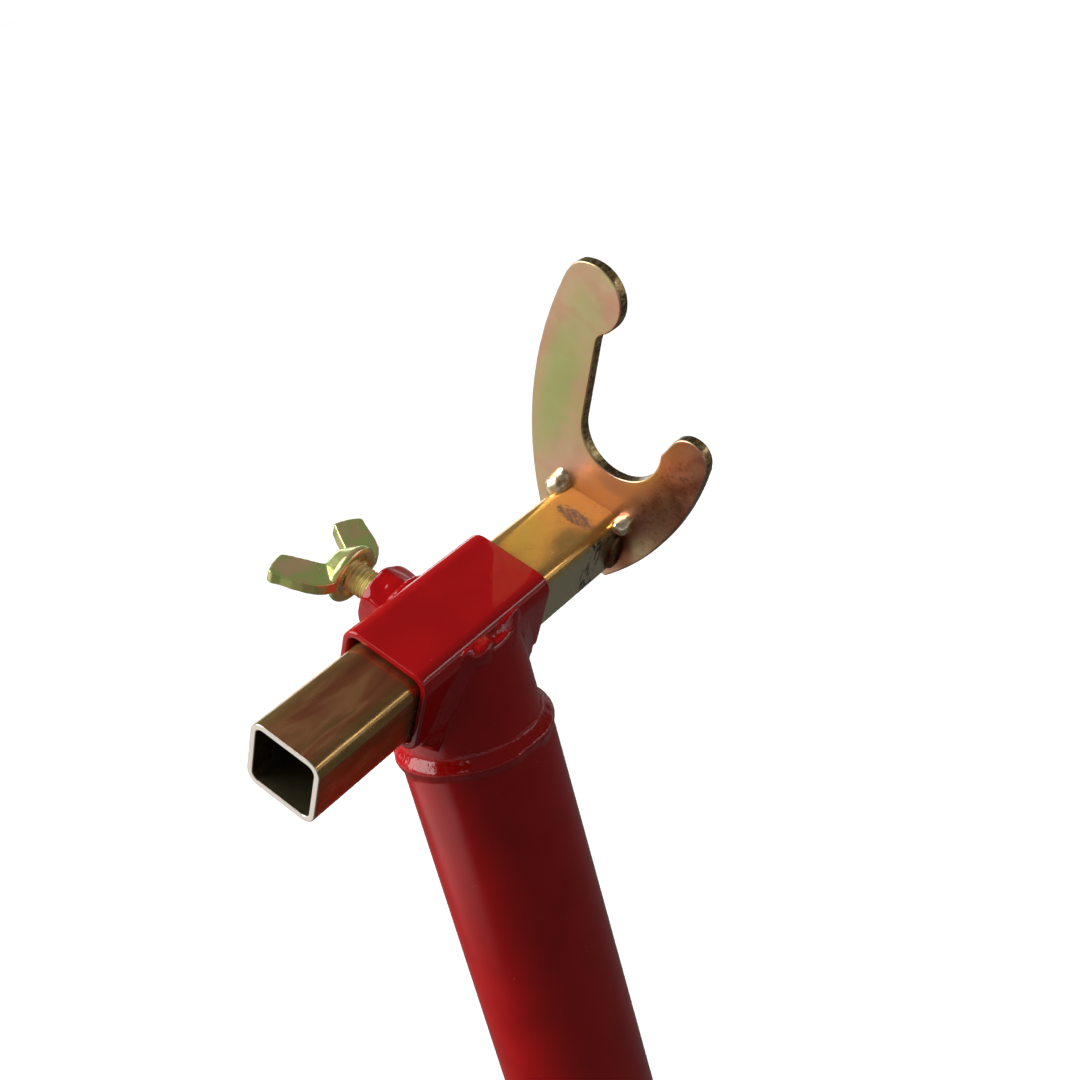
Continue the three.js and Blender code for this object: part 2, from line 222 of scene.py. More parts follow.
def wall_profile(near, far, wall, edge, rows=24, steps=5):
    """A tube wall's section as (depth in from the outer face, place along), edges rounded."""
    centres = ((edge, near + edge), (edge, far - edge))
    centres += ((wall - edge, far - edge), (wall - edge, near + edge))
    profile = []
    for i, (depth, along) in enumerate(centres):
        profile += arc(depth, along, edge, -90 - 90 * i, -180 - 90 * i, steps)
        start, end = profile[-1][1], centres[(i + 1) % 4][1]
        if i in (0, 2):
            depth_here = profile[-1][0]
            profile += [(depth_here, start + (end - start) * k / rows) for k in range(1, rows)]
    return profile


def turned(profile, count=ROUND):
    """Rings about Z from a profile of (radius, height)."""
    return [[(x, y, height) for x, y in round_loop(radius, count)] for radius, height in profile]


def along_y(rings):
    """Rings about Z laid over, to be about Y."""
    return [[(x, z, -y) for x, y, z in ring] for ring in rings]


# ---- Materials --------------------------------------------------------------------------------


def srgb(red, green, blue):
    """A colour given as it is seen, from 0 to 255, as the linear one that a shader takes."""
    shares = [c / 255 for c in (red, green, blue)]
    linear = [c / 12.92 if c <= 10 / 255 else ((c + 0.055) / 1.055) ** 2.4 for c in shares]
    return (*linear, 1.0)


class Finish:
    """A node material on the Principled shader, with short names for the nodes that it uses."""

    def __init__(self, name, **settings):
        self.material = bpy.data.materials.new(name)
        self.material.use_nodes = True
        self.tree = self.material.node_tree
        self.shader = self.tree.nodes["Principled BSDF"]
        for key, value in settings.items():
            self.shader.inputs[key.replace("_", " ")].default_value = value
        own = self.tree.nodes.new("ShaderNodeAttribute")
        own.attribute_name = "own_place"
        self.place = own.outputs["Vector"]

    def add(self, kind, inputs=(), **settings):
        """A node of that kind, with its inputs given as (name or number, value or socket)."""
        node = self.tree.nodes.new(kind)
        for key, value in settings.items():
            setattr(node, key, value)
        for key, value in inputs:
            self.wire(value, node.inputs[key])
        return node

    def wire(self, value, socket):
        if isinstance(value, bpy.types.NodeSocket):
            self.tree.links.new(value, socket)
        else:
            socket.default_value = value

    def set(self, socket, value):
        self.wire(value, self.shader.inputs[socket])

    def noise(self, size, detail=2.0, rough=0.5, stretch=(1, 1, 1), bend=0.0):
        """Noise whose lumps are about size millimetres across, drawn out by stretch."""
        scale = [1 / (size * MM * s) for s in stretch]
        mapped = self.add("ShaderNodeMapping", [("Vector", self.place), ("Scale", scale)])
        inputs = [("Vector", mapped.outputs[0]), ("Scale", 1.0), ("Detail", detail)]
        inputs += [("Roughness", rough), ("Distortion", bend)]
        return self.add("ShaderNodeTexNoise", inputs).outputs["Fac"]

    def cells(self, size):
        """How far each point is from the nearest of scattered ones about size millimetres apart."""
        scale = [1 / (size * MM)] * 3
        mapped = self.add("ShaderNodeMapping", [("Vector", self.place), ("Scale", scale)])
        inputs = [("Vector", mapped.outputs[0]), ("Scale", 1.0)]
        return self.add("ShaderNodeTexVoronoi", inputs, feature="F1").outputs["Distance"]

    def vector(self, operation, *values):
        return self.add("ShaderNodeVectorMath", list(enumerate(values)), operation=operation)

    def axes(self):
        """The place's X, Y and Z."""
        return self.add("ShaderNodeSeparateXYZ", [(0, self.place)]).outputs

    def both(self, a, b):
        """A mask where both masks are."""
        return self.math("MULTIPLY", a, b, clamp=True)

    def math(self, operation, a, b=0.0, clamp=False):
        inputs = [(0, a), (1, b)]
        return self.add("ShaderNodeMath", inputs, operation=operation, use_clamp=clamp).outputs[0]

    def between(self, value, low, high, out_low=0.0, out_high=1.0):
        """A smooth step: out_low where value is low, and out_high where it is high."""
        inputs = [("Value", value), ("From Min", low), ("From Max", high)]
        inputs += [("To Min", out_low), ("To Max", out_high)]
        return self.add("ShaderNodeMapRange", inputs, interpolation_type="SMOOTHSTEP").outputs[0]

    def mix(self, share, a, b, blend="MIX"):
        node = self.add("ShaderNodeMix", data_type="RGBA", blend_type=blend)
        for value, socket in ((share, node.inputs[0]), (a, node.inputs[6]), (b, node.inputs[7])):
            self.wire(value, socket)
        return node.outputs[2]

    def ramp(self, value, stops):
        node = self.add("ShaderNodeValToRGB", [("Fac", value)])
        ends = node.color_ramp.elements
        while len(ends) < len(stops):
            ends.new(0.5)
        for end, (at, color) in zip(ends, stops):
            end.position, end.color = at, color
        return node.outputs["Color"]

    def near(self, centre, size, ragged=0.35, grain=6.0, fade=0.2):
        """1 inside an egg of those half sizes about a point, fading to 0 with a ragged edge."""
        away = self.vector("SUBTRACT", self.place, Vector(centre) * MM)
        inside = self.vector("MULTIPLY", away.outputs[0], [1 / (s * MM) for s in size])
        length = self.vector("LENGTH", inside.outputs[0]).outputs["Value"]
        rough = self.math("MULTIPLY", self.math("SUBTRACT", self.noise(grain, 4), 0.5), ragged * 2)
        return self.between(self.math("ADD", length, rough), 1.0 + fade, 1.0 - fade)

    def bump(self, height, depth, after=None):
        """Relief of that depth in millimetres; after is a bump that it is added to."""
        inputs = [("Height", height), ("Distance", depth * MM), ("Strength", 1.0)]
        if after is not None:
            inputs.append(("Normal", after))
        return self.add("ShaderNodeBump", inputs).outputs[0]


def red_paint(name, lumps=0.0):
    """Powder coat; lumps is how deep, in millimetres, the weld under it shows through."""
    f = Finish(name, Roughness=0.4, Coat_Weight=0.75, Coat_Roughness=0.05, Coat_IOR=1.5)
    f.set("Specular IOR Level", 0.0)
    cloud = f.noise(22, 3)
    base = f.mix(f.between(cloud, 0.35, 0.65), srgb(166, 8, 12), srgb(178, 12, 14))
    pits = f.between(f.cells(3.4), 0.10, 0.03)
    rare = f.between(f.noise(9, 1), 0.60, 0.68)
    base = f.mix(f.math("MULTIPLY", pits, rare), base, srgb(205, 70, 66))
    f.set("Base Color", base)
    f.set("Roughness", f.between(f.noise(2.2, 2), 0.3, 0.7, 0.34, 0.46))
    peel = f.bump(f.noise(1.5, 1), 0.010)
    swell = f.bump(f.noise(7, 1), 0.03, peel)
    if lumps:
        swell = f.bump(f.noise(2.4, 3, 0.6), lumps, swell)
    f.set("Normal", swell)
    f.set("Coat Normal", swell)
    return f.material


def zinc(name, tint, patches=(), rough=(0.16, 0.30), grain=(1, 1, 1), drift=17, drawn=(1, 1, 1),
         scuffs=0.5, metal=1.0, detail=3):
    """Yellow chromate over zinc. The film's colour drifts along tint, in lumps of drift millimetres
    stretched by drawn. patches are (centre, half sizes, colour, strength), scuffs is how strongly
    bare specks show, and grain stretches the fine scratches."""
    f = Finish(name, Metallic=metal)
    color = f.ramp(f.between(f.noise(drift, detail, 0.55, drawn, 0.6), 0.28, 0.72), tint)
    for centre, size, shade, strength in patches:
        mask = f.near(centre, size, 0.5, 11, 0.5)
        color = f.mix(f.math("MULTIPLY", mask, strength), color, shade)
    speck = f.between(f.noise(0.8, 3, 0.7), 0.70, 0.78)
    color = f.mix(f.math("MULTIPLY", speck, scuffs), color, BARE)
    f.color = color
    worn = f.noise(5, 4, 0.6)
    f.set("Roughness", f.between(worn, 0.3, 0.7, *rough))
    lines = f.bump(f.noise(0.5, 3, 0.6, grain), 0.004)
    f.set("Normal", f.bump(f.noise(6, 2), 0.02, lines))
    f.set("Base Color", color)
    return f


BARE = srgb(245, 236, 215)
TAN = srgb(208, 176, 140)
ROSE = srgb(208, 160, 130)
GREEN = srgb(168, 186, 118)
OLIVE = srgb(160, 148, 84)
GOLD = srgb(228, 176, 98)
PAINTED_SHADE_INSIDE = srgb(110, 100, 72)

BAR_TINT = [(0.0, srgb(150, 84, 54)), (0.45, srgb(180, 110, 72)), (0.7, srgb(202, 140, 94)),
            (1.0, srgb(142, 102, 56))]
WORN_MARK = ((1.2, 60.3, 12.5), (7.2, 3.0, 2.0))  # on the bar's top: centre and half sizes
GOUGES = ((12.5, 57, 0), (2, 5, 12))  # on its right face
PLATE_TINT = [(0.0, ROSE), (0.4, TAN), (0.65, srgb(200, 182, 134)), (1.0, TAN)]
# The welds' zinc comes in two copies: a pale one for the welds on top, a painted highlight, and a dark one
# for the welds on the sides and underneath, painted shade.
WELD_TINT = [(0.0, srgb(222, 190, 130)), (0.5, srgb(234, 218, 188)), (1.0, srgb(190, 152, 92))]
SHADED_WELD_TINT = [(0.0, srgb(96, 58, 44)), (0.5, srgb(138, 104, 72)), (1.0, srgb(70, 60, 52))]
SCREW_TINT = [(0.0, srgb(236, 190, 142)), (0.3, srgb(214, 206, 132)), (0.65, srgb(192, 214, 124)),
              (1.0, srgb(236, 200, 150))]
THREAD_TINT = [(0.0, srgb(228, 216, 134)), (1.0, srgb(246, 242, 184))]

# Places where the plate's colour differs: centre, half sizes, colour and strength.
PLATE_PATCHES = [
    ((-22, 73, 48), (6, 9, 24), GREEN, 0.65),
    ((-17, 73, 76), (5, 9, 9), GREEN, 0.3),
    ((6, 73, 18), (22, 9, 11), srgb(216, 160, 142), 0.75),
    ((27, 73, 34), (9, 9, 18), srgb(232, 164, 136), 0.8),
    ((28, 73, 20), (8, 9, 14), srgb(150, 128, 92), 0.6),
    ((14.5, 72, -2), (6, 9, 8), srgb(120, 62, 44), 0.85),
]

red = red_paint("red_powder_coat")
red_weld = red_paint("red_over_weld", lumps=0.30)


def bar_finish():
    """The bar: brown and olive drift over its near part and gold over its far part, with fine lines
    along it. Its top has one worn mark near the plate, and its right face is gouged there. The right
    face is painted paler towards the plate as painted light, the inside is painted dark as painted
    shade, and the cut near end is painted near-white as a painted highlight."""
    f = zinc("zinc_bar", BAR_TINT, grain=(1, 16, 1), rough=(0.16, 0.28), drift=9, drawn=(1, 5, 1),
             metal=0.78)
    axes = f.axes()
    ragged = f.noise(9, 3, 0.6, (1, 4, 1))
    wander = f.math("MULTIPLY", f.math("SUBTRACT", ragged, 0.5), 9 * MM)
    edge = f.between(f.math("ADD", f.math("ABSOLUTE", axes["X"]), wander), 5 * MM, 10 * MM)
    color = f.mix(f.math("MULTIPLY", edge, 0.5), f.color, OLIVE)
    color = f.mix(f.between(axes["Y"], 15 * MM, 40 * MM), color, GOLD)
    mark = f.near(*WORN_MARK, 0.4, 1.6)
    scored = f.between(f.noise(1.0, 3, 0.7, (1.6, 0.5, 1)), 0.36, 0.52)
    color = f.mix(f.math("MULTIPLY", f.both(mark, scored), 0.8), color, srgb(92, 92, 106))
    # Painted light: the bar's right face is painted paler towards the plate.
    right = f.between(axes["X"], 11.6 * MM, 12.3 * MM)
    beyond = f.between(axes["Y"], 20 * MM, 34 * MM)
    color = f.mix(f.both(right, beyond), color, srgb(206, 196, 150))
    gouged = f.between(f.noise(2.2, 4, 0.7, (1, 1, 2)), 0.50, 0.56)
    color = f.mix(f.both(gouged, f.near(*GOUGES, 0.5)), color, srgb(30, 30, 34))
    # Painted shade: the bar's inside is painted dark.
    across = f.math("MAXIMUM", f.math("ABSOLUTE", axes["X"]), f.math("ABSOLUTE", axes["Z"]))
    inside = f.between(across, 10.9 * MM, 10.5 * MM)
    color = f.mix(inside, color, PAINTED_SHADE_INSIDE)
    # Painted highlight: the cut near end is painted near-white.
    ends = f.between(axes["Y"], -71.0 * MM, -71.2 * MM)
    color = f.mix(ends, color, srgb(236, 226, 214))
    f.set("Base Color", color)
    return f.material


def plate_finish():
    """The hook plate: pinkish tan, green down the long arm, pinker under the throat and up the short
    arm, which is speckled, with sheared edges that are darker and mottled."""
    f = zinc("zinc_plate", PLATE_TINT, PLATE_PATCHES, rough=(0.30, 0.42), drift=20, scuffs=0.35)
    speckled = f.between(f.noise(1.2, 3, 0.7), 0.5, 0.64)
    short_arm = f.near((27, 73, 22), (10, 9, 26), 0.3, 8)
    f.color = f.mix(f.math("MULTIPLY", f.both(speckled, short_arm), 0.4), f.color, srgb(104, 84, 58))
    axes = f.axes()
    depth = f.math("ABSOLUTE", f.math("SUBTRACT", axes["Y"], (PLATE_NEAR + PLATE_FAR) / 2 * MM))
    side = f.between(depth, 1.75 * MM, 1.55 * MM)
    mottled = f.between(f.noise(1.1, 4, 0.7, (1, 2.5, 1)), 0.42, 0.6)
    sheared = f.mix(mottled, srgb(120, 92, 66), srgb(176, 158, 108))
    bright = f.between(f.noise(0.9, 2, 0.6), 0.66, 0.72)
    sheared = f.mix(bright, sheared, srgb(248, 240, 225))
    f.set("Base Color", f.mix(side, f.color, sheared))
    return f.material


bar_zinc = bar_finish()
plate_zinc = plate_finish()
weld_zinc = zinc("zinc_weld", WELD_TINT, rough=(0.2, 0.36), drift=4, scuffs=0.1, metal=0.9).material
shaded_weld_zinc = zinc("zinc_weld_shaded", SHADED_WELD_TINT, rough=(0.3, 0.45), drift=4, scuffs=0.3).material
screw_zinc = zinc("zinc_screw", SCREW_TINT, drift=12, rough=(0.18, 0.28), metal=0.7, detail=1,
                  scuffs=0.3).material
thread_zinc = zinc("zinc_thread", THREAD_TINT, drift=6, rough=(0.3, 0.42), metal=0.6).material

rubber = Finish("ribbed_rubber", Roughness=0.75)
rubber.set("Base Color", rubber.mix(rubber.noise(4, 3), srgb(26, 26, 28), srgb(40, 40, 42)))
rubber.set("Normal", rubber.bump(rubber.noise(0.6, 3), 0.02))
plastic = Finish("moulded_plastic", Roughness=0.45)
plastic.set("Base Color", plastic.mix(plastic.noise(6, 2), srgb(24, 24, 26), srgb(34, 34, 36)))
plastic.set("Normal", plastic.bump(plastic.noise(0.4, 2), 0.01))
brass = Finish("turned_brass", Metallic=1.0, Roughness=0.3)
brass.place = brass.tree.nodes.new("ShaderNodeTexCoord").outputs["Object"]
brass.set("Base Color", brass.mix(brass.noise(1.5, 2), srgb(190, 150, 80), srgb(210, 170, 100)))

# ---- Tubes ------------------------------------------------------------------------------------


def square_tube(width, corner, profile, x=0.0, z=0.0):
    """Rings of a square tube along Y, from its wall's profile."""
    rings = []
    for inward, along in profile:
        loop = square_loop(width - 2 * inward, corner - inward)
        rings.append([(px + x, along, pz + z) for px, pz in loop])
    return rings


def round_tube(radius, profile):
    """Rings of a round tube about Z, from its wall's profile."""
    return turned([(radius - inward, along) for inward, along in profile])


SLEEVE_EDGE, BAR_EDGE, TUBE_EDGE = 0.9, 0.35, 0.5  # rounding of the cut ends
PLATE_BITE = 0.2  # how far the bar's skin runs into the plate's

sleeve_profile = wall_profile(SLEEVE_NEAR, SLEEVE_FAR, SLEEVE_WALL, SLEEVE_EDGE)
piece("sleeve_skin", square_tube(SLEEVE_WIDTH, SLEEVE_CORNER, sleeve_profile, SLEEVE_X, SLEEVE_Z),
      "shaft_frame", ["cross_sleeve"], red, HEAD)
bar_profile = wall_profile(BAR_NEAR, PLATE_NEAR + PLATE_BITE, BAR_WALL, BAR_EDGE)
piece("bar_skin", square_tube(BAR_WIDTH, BAR_CORNER, bar_profile),
      "hook_bar", ["slide_tube"], bar_zinc, HEAD)
shaft_profile = wall_profile(SHAFT_FOOT, SHAFT_TOP, SHAFT_WALL, TUBE_EDGE)
piece("shaft_skin", round_tube(SHAFT_RADIUS, shaft_profile),
      "shaft_frame", ["shaft_tube"], red)
handle_profile = wall_profile(-HANDLE_HALF, HANDLE_HALF, HANDLE_WALL, TUBE_EDGE)
piece("handle_skin", along_y(round_tube(HANDLE_RADIUS, handle_profile)),
      "shaft_frame", ["handle_tube"], red)


def cope(radius, angle):
    """How far below the head's centre a tube of that radius meets the sleeve, at an angle round it."""
    across = radius * math.cos(angle)
    side = (SLEEVE_RIGHT - across * COS) / SIN
    under = (across * SIN - SLEEVE_BOTTOM) / COS
    rim = (across * SIN - STUB_RIM) / COS
    return max(min(side, under), rim)


def stub_rings(rows=30):
    """The stub's outer wall from its foot to its coped top, and its inner wall back down."""
    rings = []
    for step in range(2 * rows + 2):
        outer = step <= rows
        radius = STUB_RADIUS if outer else STUB_RADIUS - STUB_WALL
        share = step / rows if outer else (2 * rows + 1 - step) / rows
        ring = []
        for i in range(ROUND):
            angle = 2 * math.pi * i / ROUND
            top = cope(radius, angle)
            down = STUB_DEPTH + (top - STUB_DEPTH) * share
            ring.append((radius * math.cos(angle), radius * math.sin(angle), HEAD_HEIGHT - down))
        rings.append(ring)
    return rings


piece("stub_skin", stub_rings(), "shaft_frame", ["stub_tube"], red)

# ---- Welds under the paint ----------------------------------------------------------------------

SIDE_NORMAL = Vector((COS, 0, -SIN))
UNDER_NORMAL = Vector((-SIN, 0, -COS))


def saddle_spot(angle):
    """Where the stub meets the sleeve at that angle round the shaft: the point, the stub's outward
    normal there, and the sleeve's."""
    outward = Vector((math.cos(angle), math.sin(angle), 0))
    here = outward * STUB_RADIUS + Vector((0, 0, HEAD_HEIGHT - cope(STUB_RADIUS, angle)))
    share = min(max((outward.x + 0.05) / 0.35, 0.0), 1.0)
    face = (SIDE_NORMAL * share + UNDER_NORMAL * (1 - share)).normalized()
    return here, outward, face


SADDLE_HEAPS = ((-17, 10, 1.8), (9, 8, 0.9))  # degrees round the shaft, spread, height
SADDLE_LUMPS = ((-17, -0.2, (3.0, 5.4, 3.0)), (-78, -1.5, (3.6, 3.6, 3.6)))  # degrees, lift, sizes
SADDLE_ON_SLEEVE, SADDLE_ON_STUB = 5.4, 5.6  # how far the weld runs out over each
WELD_FUSE = (0.45, 12)  # voxel size and smoothing rounds


def saddle_rings(count=360, steps=12):
    """A broad fillet: each ring runs from the sleeve's face to the stub's wall and back inside them.
    It is hollow where the weld is thin, and heaped up at SADDLE_HEAPS."""
    rings = []
    for i in range(count):
        angle = 2 * math.pi * i / count
        here, outward, face = saddle_spot(angle)
        off_sleeve = here.x * COS - (here.z - HEAD_HEIGHT) * SIN - SLEEVE_RIGHT
        away = (outward - face * outward.dot(face)).normalized()
        lump = noise.noise(here * 0.16 + Vector((3, 0, 0)))
        fine = noise.noise(here * 0.45 + Vector((0, 8, 0)))
        steep = abs(math.sin(angle))
        on_sleeve = here - SIDE_NORMAL * (max(off_sleeve, 0.0) + 1.6 * (1 - steep))
        on_sleeve += away * (SADDLE_ON_SLEEVE * steep + 0.8 + 0.7 * lump * steep)
        on_stub = here - Vector((0, 0, SADDLE_ON_STUB + 1.6 * lump + 0.4 * fine))
        degrees = (math.degrees(angle) + 180) % 360 - 180
        bumps = 0.0
        for at, spread, height in SADDLE_HEAPS:
            bumps += height * math.exp(-(((degrees - at) / spread) ** 2))
        swell = (outward + face).normalized() * (0.8 + bumps + 0.6 * lump + 0.4 * fine)
        heaped = 0.35 + 0.65 * min(bumps / 0.9, 1.0)
        corner = here + (outward + face).normalized() * 0.6
        middle = corner.lerp((on_sleeve + on_stub) / 2 + swell, heaped)
        ring = [on_sleeve]
        for k in range(1, steps):
            t = k / steps
            ring.append(on_sleeve * (1 - t) ** 2 + middle * 2 * t * (1 - t) + on_stub * t * t)
        ring += [on_stub, on_stub - outward * 1.2]
        ring += [here - outward * 1.3 - face * 1.6, on_sleeve - face * 1.2]
        rings.append(ring)
    return rings


saddle_bm = bmesh.new()
add_skin(saddle_bm, saddle_rings())
for turn, lift, size in SADDLE_LUMPS:
    spot, outward, _ = saddle_spot(math.radians(turn))
    add_ball(saddle_bm, spot - outward * 1.6 + Vector((0, 0, lift)), size, seed=turn, rough=0.1)
saddle = finished("saddle_bead", saddle_bm, "shaft_frame", ["saddle_weld"], red_weld,
                  fuse=WELD_FUSE)
wobble(saddle, 5.0, 0.35, 4.0)

RING_REACH, RING_HEIGHT, RING_WIDTH = 7.5, 1.35, 2.5
PUDDLE_AT, PUDDLE_SPREAD = 248, 16  # the widest part of the ring weld, in degrees round the shaft


def ring_bead_rings(count=240, rows=44):
    """A painted weld whose edges run out onto the stub above and the shaft below."""
    rings = []
    for step in range(rows + 1):
        drop = RING_REACH * (2 * step / rows - 1)
        ring = []
        for i in range(count):
            angle = 2 * math.pi * i / count
            spot = Vector((math.cos(angle), math.sin(angle), 0.0))
            slow = noise.noise(spot * 2.6 + Vector((4.0, 0, 0)))
            fast = noise.noise(spot * 7.0 + Vector((0, 9.0, 0)))
            puddle = math.exp(-(((math.degrees(angle) - PUDDLE_AT) / PUDDLE_SPREAD) ** 2))
            height = RING_HEIGHT + 0.5 * slow + 0.3 * fast + 0.4 * puddle
            width = RING_WIDTH + 0.5 * slow + 1.1 * puddle
            middle = 0.5 + 0.9 * noise.noise(spot * 3.3) - 0.8 * puddle
            share = min(max((drop + 0.5) / 4.0, 0.0), 1.0)
            surface = SHAFT_RADIUS + (STUB_RADIUS - SHAFT_RADIUS) * share * share * (3 - 2 * share)
            swell = height * math.exp(-(abs((drop - middle) / width) ** 2)) - 0.12
            radius = surface + swell
            ring.append((radius * spot.x, radius * spot.y, SHAFT_TOP + drop))
        rings.append(ring)
    inside = STUB_RADIUS - 1
    return rings + turned([(inside, SHAFT_TOP + RING_REACH), (inside, SHAFT_TOP - RING_REACH)], count)


piece("ring_bead", ring_bead_rings(), "shaft_frame", ["ring_weld"], red_weld)


HANDLE_BEAD, NUT_BEAD = 2.8, 1.9  # the small welds' radii


def bead_rings(path, out_of, radius, lumps, ripples, count):
    """Rings of a closed weld bead along a loop of points, uneven by a share of lumps and rippled.
    out_of gives the way out at a point."""
    total = len(path)
    turns = [2 * math.pi * k / count for k in range(count)]
    rings = []
    for i, here in enumerate(path):
        ahead = (path[(i + 1) % total] - path[i - 1]).normalized()
        out = out_of(here)
        across = ahead.cross(out).normalized()
        ripple = 0.08 * abs(math.sin(math.pi * ripples * i / total))
        grow = 1 + lumps * noise.noise(here * 0.2) + ripple
        rings.append([here + (out * math.cos(t) + across * math.sin(t)) * radius * grow for t in turns])
    return rings


def handle_bead(side):
    """The weld round the handle where it leaves the shaft."""
    around = HANDLE_RADIUS + 0.6
    path = []
    for i in range(160):
        angle = 2 * math.pi * i / 160
        x = around * math.cos(angle)
        y = side * (math.sqrt(SHAFT_RADIUS**2 - x * x) + 0.6)
        path.append(Vector((x, y, around * math.sin(angle))))
    return bead_rings(path, lambda p: Vector((p.x, 0, p.z)).normalized(), HANDLE_BEAD, 0.15, 30, 16)


for word, side in SIDES:
    piece(f"handle_bead_{word}", handle_bead(side), "shaft_frame", [f"handle_weld_{word}"],
          red_weld)

# ---- Nut --------------------------------------------------------------------------------------


def soft_min(a, b, blend):
    """The smaller of two numbers, blended where they are close."""
    return -blend * math.log(math.exp(-a / blend) + math.exp(-b / blend))


NUT_ROUND = 144
NUT_CHAMFER, NUT_CHAMFER_DEPTH = 1.8, 2.2  # along the screw and in from the corners


def nut_ring(x, limit, blend=0.35, count=NUT_ROUND):
    """The hexagon at x, with its corners cut back to a radius of limit."""
    ring = []
    for i in range(count):
        turn = 2 * math.pi * i / count
        off_flat = (turn % (math.pi / 3)) - math.pi / 6
        flat = NUT_FLATS / 2 / math.cos(off_flat)
        radius = soft_min(flat, limit, blend)
        ring.append((x, radius * math.sin(turn), SCREW_Z + radius * math.cos(turn)))
    return ring


def nut_rings():
    """The nut's flats, its chamfered face and the hole in it."""
    corner = NUT_FLATS / math.sqrt(3)
    shoulder = NUT_OUTER + NUT_CHAMFER
    rings = [nut_ring(NUT_INNER, corner)]
    for step in range(1, 9):
        rings.append(nut_ring(NUT_INNER + (shoulder - NUT_INNER) * step / 8, corner))
    for step in range(1, 9):
        t = math.radians(90 * step / 8)
        rings.append(nut_ring(shoulder - 1.7 * math.sin(t), corner - NUT_CHAMFER_DEPTH * (1 - math.cos(t))))
    for radius, sunk in ((7.4, 0), (6.4, 0), (5.6, 0.1), (5.2, 0.6), (5.2, 5)):
        loop = round_loop(radius, NUT_ROUND)
        rings.append([(NUT_OUTER + sunk, y, SCREW_Z + z) for z, y in loop])
    return rings


nut = piece("nut_skin", nut_rings(), "shaft_frame", ["weld_nut"], red, HEAD, closed=False)
wobble(nut, 4.0, 0.35, 2.0)


def nut_bead_rings():
    """The weld round the nut's foot."""
    path = [Vector((NUT_INNER - 0.4, y, SCREW_Z + z)) for z, y in round_loop(NUT_FLATS / 2 + 0.8, 200)]
    return bead_rings(path, lambda p: Vector((0, p.y, p.z - SCREW_Z)).normalized(), NUT_BEAD, 0.25, 26, 18)


piece("nut_bead", nut_bead_rings(), "shaft_frame", ["nut_weld"], red_weld, HEAD)

# ---- Hook plate ---------------------------------------------------------------------------------


PLATE_BOTTOM, BACK_TOP = -14.0, 82.0
BACK, BACK_RADIUS = (99.8, 55.9), 131.0
BELLY, BELLY_RADIUS = (-57.6, 46.6), 92.2
LOBE, LOBE_RADIUS = (-18.4, 80.8), 11.9
SHORT_TIP, SHORT_TIP_RADIUS = (27.5, 46.7), 6.9
THROAT, THROAT_RADIUS = (4.3, 40.4), 14.6
NECK_LOW, NECK_PULL, NECK_TOP = (-12.2, 68), (-12.2, 70.9), (-10, 72.4)  # under the lobe
CROWN_PULL = (-27, 91)
PLATE_EDGE = 0.55  # rounding of the sheared edges


def hook_outline():
    """The plate's outline in X and Z, anticlockwise from its bottom right corner."""
    bottom = PLATE_BOTTOM
    belly_start = math.degrees(math.asin((bottom - BELLY[1]) / BELLY_RADIUS))
    back_start = 180 - math.degrees(math.asin((BACK_TOP - BACK[1]) / BACK_RADIUS))
    back_end = 180 - math.degrees(math.asin((bottom - BACK[1]) / BACK_RADIUS))
    points = arc(*BELLY, BELLY_RADIUS, belly_start, 0, 60)
    points += arc(*SHORT_TIP, SHORT_TIP_RADIUS, 0, 165, 30)
    points += arc(*THROAT, THROAT_RADIUS, 10, -176, 60)
    points += straight(points[-1], NECK_LOW, 16) + [NECK_LOW]
    points += quadratic(NECK_LOW, NECK_PULL, NECK_TOP, 6)
    points += arc(*LOBE, LOBE_RADIUS, -45, 110, 40)
    top = (BACK[0] + BACK_RADIUS * math.cos(math.radians(back_start)), BACK_TOP)
    points += quadratic(points[-1], CROWN_PULL, top, 14)
    points += arc(*BACK, BACK_RADIUS, back_start, back_end, 60)
    points += straight(points[-1], (points[0][0], bottom), 20)
    kept = [points[0]]
    for p in points[1:]:
        if math.dist(p, kept[-1]) > 0.05:
            kept.append(p)
    return kept


def inset(points, amount):
    """An outline moved in by amount, point by point along its own normals."""
    moved = []
    for i, (x, y) in enumerate(points):
        before, after = points[i - 1], points[(i + 1) % len(points)]
        run = Vector((after[0] - before[0], after[1] - before[1])).normalized()
        moved.append((x - run.y * amount, y + run.x * amount))
    return moved


def hook_plate():
    """The plate's skin: its outline swept over both faces' rounded edges, and the two faces."""
    outline = hook_outline()
    rings = []
    for near, side in ((PLATE_NEAR, 1), (PLATE_FAR, -1)):
        part = []
        for step in range(5):
            t = math.radians(90 * step / 4)
            loop = inset(outline, PLATE_EDGE * (1 - math.sin(t)))
            y = near + side * PLATE_EDGE * (1 - math.cos(t))
            part.append([(x, y, z) for x, z in loop])
        rings += part if side > 0 else part[::-1]
    bm = bmesh.new()
    add_skin(bm, rings, closed=False, capped=True)
    finished("hook_skin", bm, "hook_bar", ["hook_plate"], plate_zinc, HEAD, flat_caps=True)


hook_plate()

# ---- Welds between the bar and the plate ------------------------------------------------------------

HALF = BAR_WIDTH / 2
BLOB_BACK = 0.6  # how far the blobs' middles are inside the bar's far end

